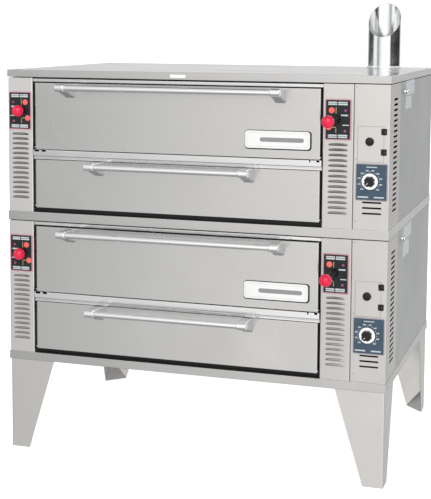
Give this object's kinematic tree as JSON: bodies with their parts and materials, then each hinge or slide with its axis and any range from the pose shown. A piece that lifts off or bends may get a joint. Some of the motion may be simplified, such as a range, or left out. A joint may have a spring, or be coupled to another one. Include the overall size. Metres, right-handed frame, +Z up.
{
  "type": "double deck pizza oven",
  "caption": "Double-deck gas pizza oven on tapered legs, with drop-down baking and burner doors, push-pull dampers, thermostats and a flue.",
  "frame": {"origin": "middle of the footprint on the floor, midway between the outermost points in X and in Y", "axes": "+X to the oven's right seen from the front, +Y from the doors to the back, +Z up"},
  "size_m": [1.672, 1.354, 1.9609],
  "materials": {
    "stainless": "number 4 brushed stainless sheet",
    "polished_steel": "bright polished steel",
    "galvanised": "dull aluminised steel sheet",
    "black_plastic": "black phenolic, slightly glossy",
    "red_plastic": "glossy crimson phenolic ball",
    "plate_black": "printed plate, near black",
    "dial_blue": "printed plate, slate blue",
    "white_enamel": "white enamelled badge",
    "hearth_stone": "dry ceramic baking deck",
    "cast_iron": "dark cast iron and pipe"
  },
  "bodies": {
    "oven_body": {"base_frame": "stainless", "middle_band": "stainless", "top_cover": "stainless", "front_left_leg": "stainless", "front_right_leg": "stainless", "rear_left_leg": "stainless", "rear_right_leg": "stainless", "flue_stack": "polished_steel", "flue_collar": "polished_steel", "gas_manifold": "cast_iron", "lower_left_side_panel": "stainless", "lower_right_side_panel": "stainless", "lower_back_panel": "galvanised", "lower_left_column": "stainless", "lower_right_column": "stainless", "lower_control_cover": "stainless", "lower_oven_chamber": "galvanised", "lower_hearth_deck": "hearth_stone", "lower_burner": "cast_iron", "lower_sill_rail": "polished_steel", "lower_left_damper_plate": "plate_black", "lower_right_damper_plate": "plate_black", "lower_thermostat_plate": "dial_blue", "upper_left_side_panel": "stainless", "upper_right_side_panel": "stainless", "upper_back_panel": "galvanised", "upper_left_column": "stainless", "upper_right_column": "stainless", "upper_control_cover": "stainless", "upper_oven_chamber": "galvanised", "upper_hearth_deck": "hearth_stone", "upper_burner": "cast_iron", "upper_sill_rail": "polished_steel", "upper_left_damper_plate": "plate_black", "upper_right_damper_plate": "plate_black", "upper_thermostat_plate": "dial_blue"},
    "lower_baking_door_assembly": {"lower_baking_door": "stainless", "lower_baking_door_handle": "polished_steel", "lower_nameplate": "white_enamel"},
    "lower_burner_door_assembly": {"lower_burner_door": "stainless", "lower_burner_door_handle": "polished_steel"},
    "lower_left_damper_pull": {"lower_left_damper_rod": "black_plastic", "lower_left_damper_knob": "red_plastic"},
    "lower_right_damper_pull": {"lower_right_damper_rod": "black_plastic", "lower_right_damper_knob": "red_plastic"},
    "lower_thermostat_dial": {"lower_thermostat_knob": "black_plastic"},
    "lower_access_door_leaf": {"lower_access_door": "stainless"},
    "lower_access_latch_knob": {"lower_access_latch": "black_plastic"},
    "upper_baking_door_assembly": {"upper_baking_door": "stainless", "upper_baking_door_handle": "polished_steel", "upper_nameplate": "white_enamel"},
    "upper_burner_door_assembly": {"upper_burner_door": "stainless", "upper_burner_door_handle": "polished_steel"},
    "upper_left_damper_pull": {"upper_left_damper_rod": "black_plastic", "upper_left_damper_knob": "red_plastic"},
    "upper_right_damper_pull": {"upper_right_damper_rod": "black_plastic", "upper_right_damper_knob": "red_plastic"},
    "upper_thermostat_dial": {"upper_thermostat_knob": "black_plastic"},
    "upper_access_door_leaf": {"upper_access_door": "stainless"},
    "upper_access_latch_knob": {"upper_access_latch": "black_plastic"}
  },
  "joints": [
    {"name": "lower_baking_door_hinge", "type": "hinge", "parent": "oven_body", "child": "lower_baking_door_assembly", "pos_m": [-0.084, -0.497, 0.7105], "axis": [1, 0, 0], "range_deg": [0, 90]},
    {"name": "lower_burner_door_hinge", "type": "hinge", "parent": "oven_body", "child": "lower_burner_door_assembly", "pos_m": [-0.084, -0.497, 0.4585], "axis": [1, 0, 0], "range_deg": [0, 90]},
    {"name": "lower_left_damper_slide", "type": "slide", "parent": "oven_body", "child": "lower_left_damper_pull", "axis": [0, -1, 0], "range_m": [0, 0.115]},
    {"name": "lower_right_damper_slide", "type": "slide", "parent": "oven_body", "child": "lower_right_damper_pull", "axis": [0, 1, 0], "range_m": [0, 0.115]},
    {"name": "lower_thermostat_turn", "type": "hinge", "parent": "oven_body", "child": "lower_thermostat_dial", "pos_m": [0.741, -0.513, 0.6245], "axis": [0, 1, 0], "range_deg": [0, 270]},
    {"name": "lower_access_door_hinge", "type": "hinge", "parent": "oven_body", "child": "lower_access_door_leaf", "pos_m": [0.794, -0.505, 0.771], "axis": [0, 0, 1], "range_deg": [0, 120]},
    {"name": "lower_access_latch_turn", "type": "hinge", "parent": "lower_access_door_leaf", "child": "lower_access_latch_knob", "pos_m": [0.7375, -0.506, 0.7815], "axis": [0, 1, 0], "range_deg": [0, 90]},
    {"name": "upper_baking_door_hinge", "type": "hinge", "parent": "oven_body", "child": "upper_baking_door_assembly", "pos_m": [-0.084, -0.497, 1.328], "axis": [1, 0, 0], "range_deg": [0, 90]},
    {"name": "upper_burner_door_hinge", "type": "hinge", "parent": "oven_body", "child": "upper_burner_door_assembly", "pos_m": [-0.084, -0.497, 1.076], "axis": [1, 0, 0], "range_deg": [0, 90]},
    {"name": "upper_left_damper_slide", "type": "slide", "parent": "oven_body", "child": "upper_left_damper_pull", "axis": [0, -1, 0], "range_m": [0, 0.115]},
    {"name": "upper_right_damper_slide", "type": "slide", "parent": "oven_body", "child": "upper_right_damper_pull", "axis": [0, 1, 0], "range_m": [0, 0.115]},
    {"name": "upper_thermostat_turn", "type": "hinge", "parent": "oven_body", "child": "upper_thermostat_dial", "pos_m": [0.741, -0.513, 1.242], "axis": [0, 1, 0], "range_deg": [0, 270]},
    {"name": "upper_access_door_hinge", "type": "hinge", "parent": "oven_body", "child": "upper_access_door_leaf", "pos_m": [0.794, -0.505, 1.3885], "axis": [0, 0, 1], "range_deg": [0, 120]},
    {"name": "upper_access_latch_turn", "type": "hinge", "parent": "upper_access_door_leaf", "child": "upper_access_latch_knob", "pos_m": [0.7375, -0.506, 1.399], "axis": [0, 1, 0], "range_deg": [0, 90]}
  ]
}
